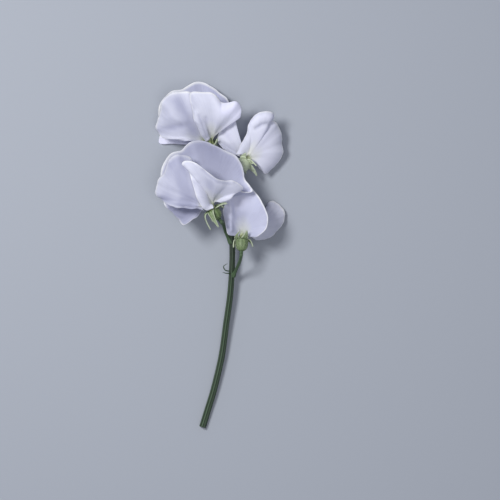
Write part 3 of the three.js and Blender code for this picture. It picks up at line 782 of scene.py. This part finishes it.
def addCalyx(k):
    # cup closed at its foot, with the sepals welded to its rim, and the down that covers both
    form = calyxForm
    f = frameOf(k)
    wall, spokes, ribMark = cupWall(f)
    rows, cols = wall.shape[:2]
    foot = rows * cols
    points = [wall.reshape(-1, 3), f["base"][None]]
    faces = [tuple(q) for q in gridFaces(rows, cols, wrap=True)]
    faces += [(foot, (j + 1) % cols, j) for j in range(cols)]
    ribs = [ribMark.ravel(), [form["footMark"]]]
    edges = [np.zeros(foot + 1)]
    grids = [(wall, spokes, form["cupHairs"])]
    start = foot + 1
    for s in range(cup["sepals"]):
        rim = wall[-1][(s * form["perSepal"] + np.arange(form["perSepal"] + 1)) % cols]
        blade, out, rib, pale = sepalBlade(f, s, rim)
        points.append(blade.reshape(-1, 3))
        faces += [tuple(q + start) for q in gridFaces(*blade.shape[:2])]
        start += pale.size
        ribs.append(rib.ravel())
        edges.append(pale.ravel())
        grids.append((blade, out, form["sepalHairs"]))
    marks = {
        "rib": np.clip(np.concatenate(ribs), 0, 1),
        # edge mark: the sepals' own pale edges and tips, plus each calyx's paleness
        "edge": np.clip(np.concatenate(edges) + form["paleness"][k], 0, 1),
    }
    piece = addPiece(
        f"calyx_{k}_cup_and_sepals", np.vstack(points), faces, calyxMaterial, marks,
        form["thickness"], [f"calyx_{k}"],
    )
    weld = piece.modifiers.new("weld", "WELD")
    weld.merge_threshold = form["weld"] / 1000
    piece.modifiers.move(1, 0)
    addDown(f"calyx_{k}_down", grids, form["thickness"] / 2, k)


# Keel and stamens, hidden between the wings

keelForm = {
    "foot": 0.92, "belly": 1.9, "tip": 0.75, "thickness": 0.4, "footTurn": 95, "bellyTurn": 118,
    "slim": 0.74, "rows": 48, "cols": 33,
    "bellyFrom": 0.38, "bellyShare": 0.92, "tipFrom": 0.8, "turnFrom": 0.3, "slimFrom": 0.25,
}
stamenForm = {
    "radius": 0.3, "taper": 0.15, "grooves": 9, "grooveDepth": 0.06, "shift": 0.35, "share": 0.86,
    "rows": 40, "sides": 20, "joints": 8, "anthers": 10,
    "thread": [(-0.6, 0.12), (0.5, 0.22)], "threadRadius": 0.07, "threadCells": (6, 6),
    "reach": 1.5, "stagger": 0.35, "fan": 0.28, "antherBack": 0.3, "antherOut": 0.35,
    "antherTip": 0.05, "antherSwell": 0.11, "antherShares": (0.04, 0.96), "antherCells": (8, 8),
}


def keelLine(f):
    # from the claw, out of the calyx and along the blossom's keel
    return np.vstack([
        f["mouth"] - f["axis"] * petalForm["inset"],
        f["mouth"] + f["axis"] * petalForm["outset"],
        layout(f["keel"]),
    ])


def addKeel(k):
    # trough along the keel's line, widest past its middle, open towards the standard
    form = keelForm
    f = frameOf(k)
    t = np.linspace(0, 1, form["rows"])
    c = along(keelLine(f), t)
    d = unit(np.gradient(c, axis=0))
    openSide = unit(f["back"] - d * (d @ f["back"])[:, None])
    across = np.cross(d, openSide)
    bellied = smooth((t - form["bellyFrom"]) / (1 - form["bellyFrom"]))
    r = form["foot"] + (form["belly"] - form["foot"]) * np.sin(np.pi * bellied * form["bellyShare"])
    ending = smooth((t - form["tipFrom"]) / (1 - form["tipFrom"]))
    r = r - (form["foot"] - form["tip"]) * ending
    turned = smooth(t / form["turnFrom"] - 1)
    turn = np.radians(form["footTurn"] + (form["bellyTurn"] - form["footTurn"]) * turned)
    slim = 1 - (1 - form["slim"]) * smooth(t / form["slimFrom"] - 1)
    a = turn[:, None] * np.linspace(-1, 1, form["cols"])
    grid = (
        c[:, None] - openSide[:, None] * (r[:, None] * np.cos(a))[..., None]
        + across[:, None] * ((slim * r)[:, None] * np.sin(a))[..., None]
    )
    addPiece(
        f"keel_{k}_petal", grid.reshape(-1, 3), gridFaces(form["rows"], form["cols"]), keelMaterial,
        {"reach": t[:, None] + 0 * a}, form["thickness"], [f"keel_{k}"],
    )


def tube(line, radius, rows, sides, wave=None):
    # round section carried along a line: radius is a function of the share t along it, and wave a
    # share of the radius added at t and angle a; each end is closed with a fan
    t = np.linspace(0, 1, rows)
    c = along(line, t)
    d = unit(np.gradient(c, axis=0))
    across = unit(np.cross(d, [0, 0, 1]))
    over = np.cross(across, d)
    a = np.linspace(0, 2 * np.pi, sides, endpoint=False)
    r = radius(t)[:, None] * (1 + (wave(t[:, None], a[None]) if wave else 0))
    grid = (
        c[:, None] + across[:, None] * (r * np.cos(a))[..., None]
        + over[:, None] * (r * np.sin(a))[..., None]
    )
    points = np.vstack([grid.reshape(-1, 3), c[:1], c[-1:]])
    faces = [tuple(q) for q in gridFaces(rows, sides, wrap=True)]
    first, last = rows * sides, rows * sides + 1
    faces += [(first, (j + 1) % sides, j) for j in range(sides)]
    top = (rows - 1) * sides
    faces += [(last, top + j, top + (j + 1) % sides) for j in range(sides)]
    return points, faces, t, a


def joinParts(parts):
    # several point and face lists as one
    points, faces, start = [], [], 0
    for p, q in parts:
        points.append(p)
        faces += [tuple(int(i) + start for i in face) for face in q]
        start += len(p)
    return np.vstack(points), faces


def threadRadius(t):
    return stamenForm["threadRadius"] + 0 * t


def antherRadius(t):
    # plump in the middle, nearly closed at both ends
    plump = np.sin(np.pi * np.clip(t, *stamenForm["antherShares"]))
    return stamenForm["antherTip"] + stamenForm["antherSwell"] * plump


def addStamens(k):
    # a sheath of joined filaments that frays near its end into tips of three lengths, each with
    # its anther
    form = stamenForm
    f = frameOf(k)
    shares = form["share"] * np.linspace(0, 1, form["joints"])
    line = along(keelLine(f) + f["back"] * form["shift"], shares)
    sheath = tube(
        line[:-1], lambda t: form["radius"] * (1 - form["taper"] * t), form["rows"], form["sides"],
        lambda t, a: form["grooveDepth"] * np.cos(form["grooves"] * a),
    )
    parts = [sheath[:2]]
    split = line[-2]
    d = unit(line[-1] - split)
    side = unit(np.cross(d, f["back"]))
    up = np.cross(side, d)
    for i in range(form["anthers"]):
        a = 2 * np.pi * i / form["anthers"]
        spread = side * np.cos(a) + up * np.sin(a)
        end = split + d * (form["reach"] + form["stagger"] * (i % 3)) + spread * form["fan"]
        thread = [split + d * ahead + spread * aside for ahead, aside in form["thread"]]
        parts.append(tube([*thread, end], threadRadius, *form["threadCells"])[:2])
        anther = [end - d * form["antherBack"], end, end + d * form["antherOut"]]
        parts.append(tube(anther, antherRadius, *form["antherCells"])[:2])
    points, faces = joinParts(parts)
    addPiece(
        f"stamens_{k}_column", points, faces, stamenMaterial,
        stands=[f"stamens_{k}"],
    )


for k in blossoms:
    addCalyx(k)
    addKeel(k)
    addStamens(k)
print("calyces, keels and stamens made")


# Stem with its pedicels and the two fine bracts at the lowest one

# the dim keys paint shade on the upper stem, which lies under the blossoms
stemForm = {
    "foot": 1.8, "neck": 1.55, "tip": 0.8, "ridges": 7, "ridgeHeight": 0.07, "wind": 1.5,
    "rows": 420, "sides": 56, "dim": 0.7, "topShadeFrom": 0.38, "topShadeOver": 0.15, "endMark": 0.3,
}
pedicelForm = {
    "foot": 0.8, "top": 1.0, "flare": 0.8, "flareLength": 0.1, "ridges": 5, "ridgeHeight": 0.07,
    "drops": (3, 1.6, 0.3), "rows": 90, "sides": 28, "paler": 0.35,
}
bractForm = {"radius": 0.32, "taper": 0.75, "ridges": 3, "rows": 24, "sides": 10, "paler": 0.1}
stemLine = [
    [202, 428.5, 3.1], [208, 409, 4], [213.7, 390, 5], [221.3, 357.6, 6.5], [225.9, 325, 8.5],
    [230.3, 292.5, 11], [232.2, 260, 13.5], [231.8, 238, 15], [230, 222, 16], [228, 200, 17.5],
    [226.5, 180, 18.5], [226, 165, 19], [226.5, 154, 19.5],
]
pedicelLines = {
    1: [[226, 168, 19], [225.5, 160, 17], [222, 153, 13]],
    2: [[228, 194, 18], [231, 188, 21], [237, 183, 26]],
    3: [[230.8, 243, 15], [227.2, 236, 18], [224.5, 229, 25], [222.6, 222, 37]],
    4: [[233, 276, 13], [236, 270, 19], [239.5, 262, 31]],
}
bractLines = [
    [[231.5, 273, 13.5], [227, 273.5, 17], [222.5, 272.5, 19]],
    [[231.5, 271.5, 13.5], [225.5, 270.5, 17], [223.5, 266.5, 19], [227.5, 263.5, 20]],
]


def crests(count, t, a):
    # 1 on each rounded crest that winds slowly round the stem, 0 in the grooves
    return np.abs(np.cos(count / 2 * a + stemForm["wind"] * t))


def ridged(form):
    # wave that raises the crests and sinks the grooves
    return lambda t, a: form["ridgeHeight"] * (2 * crests(form["ridges"], t, a) - 1)


def mainRadius(t):
    # even taper from foot to neck, then a smooth one to the tip
    form = stemForm
    low = form["foot"] + (form["neck"] - form["foot"]) * 2 * t
    high = form["neck"] + (form["tip"] - form["neck"]) * smooth(2 * t - 1)
    return np.where(t < 0.5, low, high)


def pedicelRadius(t):
    # flared where it leaves the stem
    form = pedicelForm
    flare = 1 + form["flare"] * np.exp(-(t / form["flareLength"]) ** 2)
    return (form["foot"] + (form["top"] - form["foot"]) * t) * flare


def bractRadius(t):
    # slender, thinning faster towards its tip
    return bractForm["radius"] * (1 - bractForm["taper"] * t**3)


def addStem():
    # the marks of every part go with its points: crests, painted shade darkening the upper stem
    # that lies under the blossoms, and paler pedicels
    form = stemForm
    parts, ribs, edges = [], [], []

    def keep(made, count, paler, dim=0):
        points, faces, t, a = made
        parts.append((points, faces))
        paintedTopShade = smooth((t[:, None] - form["topShadeFrom"]) / form["topShadeOver"])
        mark = crests(count, t[:, None], a) ** 3 * (1 - dim * paintedTopShade)
        ribs.append(np.append(mark.ravel(), [form["endMark"]] * 2))
        edges.append(np.full(len(points), paler))

    main = tube(layout(stemLine), mainRadius, form["rows"], form["sides"], ridged(form))
    keep(main, form["ridges"], 0, form["dim"])
    cutFoot = len(main[0]) - 2
    edges[0][cutFoot] = 1
    for k, line in pedicelLines.items():
        f = frameOf(k)
        ends = [f["base"] - f["axis"] * drop for drop in pedicelForm["drops"]]
        made = tube(
            np.vstack([layout(line), ends]), pedicelRadius, pedicelForm["rows"],
            pedicelForm["sides"], ridged(pedicelForm),
        )
        keep(made, pedicelForm["ridges"], pedicelForm["paler"])
    for line in bractLines:
        made = tube(layout(line), bractRadius, bractForm["rows"], bractForm["sides"])
        keep(made, bractForm["ridges"], bractForm["paler"])
    points, faces = joinParts(parts)
    points[:, 2] = np.maximum(points[:, 2], 0)
    addPiece(
        "stem_with_pedicels", points, faces, stemMaterial,
        {"rib": np.concatenate(ribs), "edge": np.concatenate(edges)},
        stands=["stem"],
    )


addStem()
print("stem made")


# Floor, light and camera

studio = {  # m, unless a name says mm
    "floor": "#989DA6", "floorHalf": 3.0, "floorGrainMm": 40,
    "sky": (0.78, 0.83, 1.0, 1), "skyStrength": 0.3,
    "lamps": [  # place, watts, size
        ((-0.4, 0.3, 0.9), 8.5, 0.25),
        ((0.1, -0.15, 1.2), 3.5, 0.5),
    ],
    "lampAim": (0, 0.05, 0.02),
    "lensMm": 300, "sensorMm": 36, "pictureMm": 275, "focusHeightMm": 22, "farthest": 20,
    "pictureMiddle": (250, 250),  # layout steps
}


def addFloor():
    # one square of pale paper under the flower
    size = studio["floorHalf"]
    mesh = bpy.data.meshes.new("floor")
    corners = [(-size, -size, 0), (size, -size, 0), (size, size, 0), (-size, size, 0)]
    mesh.from_pydata(corners, [], [(0, 1, 2, 3)])
    floor = bpy.data.objects.new("floor", mesh)
    bpy.context.scene.collection.objects.link(floor)
    paper = plainTissue(
        "matt_paper_backdrop", studio["floor"], studio["floor"], studio["floorGrainMm"],
    )
    mesh.materials.append(paper)


def addLamp(place, watts, size):
    # soft square lamp, turned to the flower
    lamp = bpy.data.lights.new("soft_lamp", "AREA")
    lamp.energy = watts
    lamp.size = size
    thing = bpy.data.objects.new("soft_lamp", lamp)
    bpy.context.scene.collection.objects.link(thing)
    thing.location = place
    beam = Vector(studio["lampAim"]) - Vector(place)
    thing.rotation_euler = beam.to_track_quat("-Z", "Y").to_euler()


def addCamera():
    # straight above, as high as makes the picture pictureMm wide at focusHeightMm over the floor
    camera = bpy.data.cameras.new("camera")
    camera.lens = studio["lensMm"]
    camera.sensor_width = studio["sensorMm"]
    camera.clip_end = studio["farthest"]
    thing = bpy.data.objects.new("camera", camera)
    bpy.context.scene.collection.objects.link(thing)
    middle = layout([*studio["pictureMiddle"], 0]) / 1000
    away = studio["pictureMm"] * studio["lensMm"] / studio["sensorMm"]
    thing.location = (middle[0], middle[1], (away + studio["focusHeightMm"]) / 1000)
    bpy.context.scene.camera = thing


addFloor()
for lamp in studio["lamps"]:
    addLamp(*lamp)
addCamera()
world = bpy.data.worlds.new("soft_sky")
bpy.context.scene.world = world
world.use_nodes = True
world.node_tree.nodes["Background"].inputs["Color"].default_value = studio["sky"]
world.node_tree.nodes["Background"].inputs["Strength"].default_value = studio["skyStrength"]
bpy.context.scene.view_settings.view_transform = "Standard"
print("studio made")
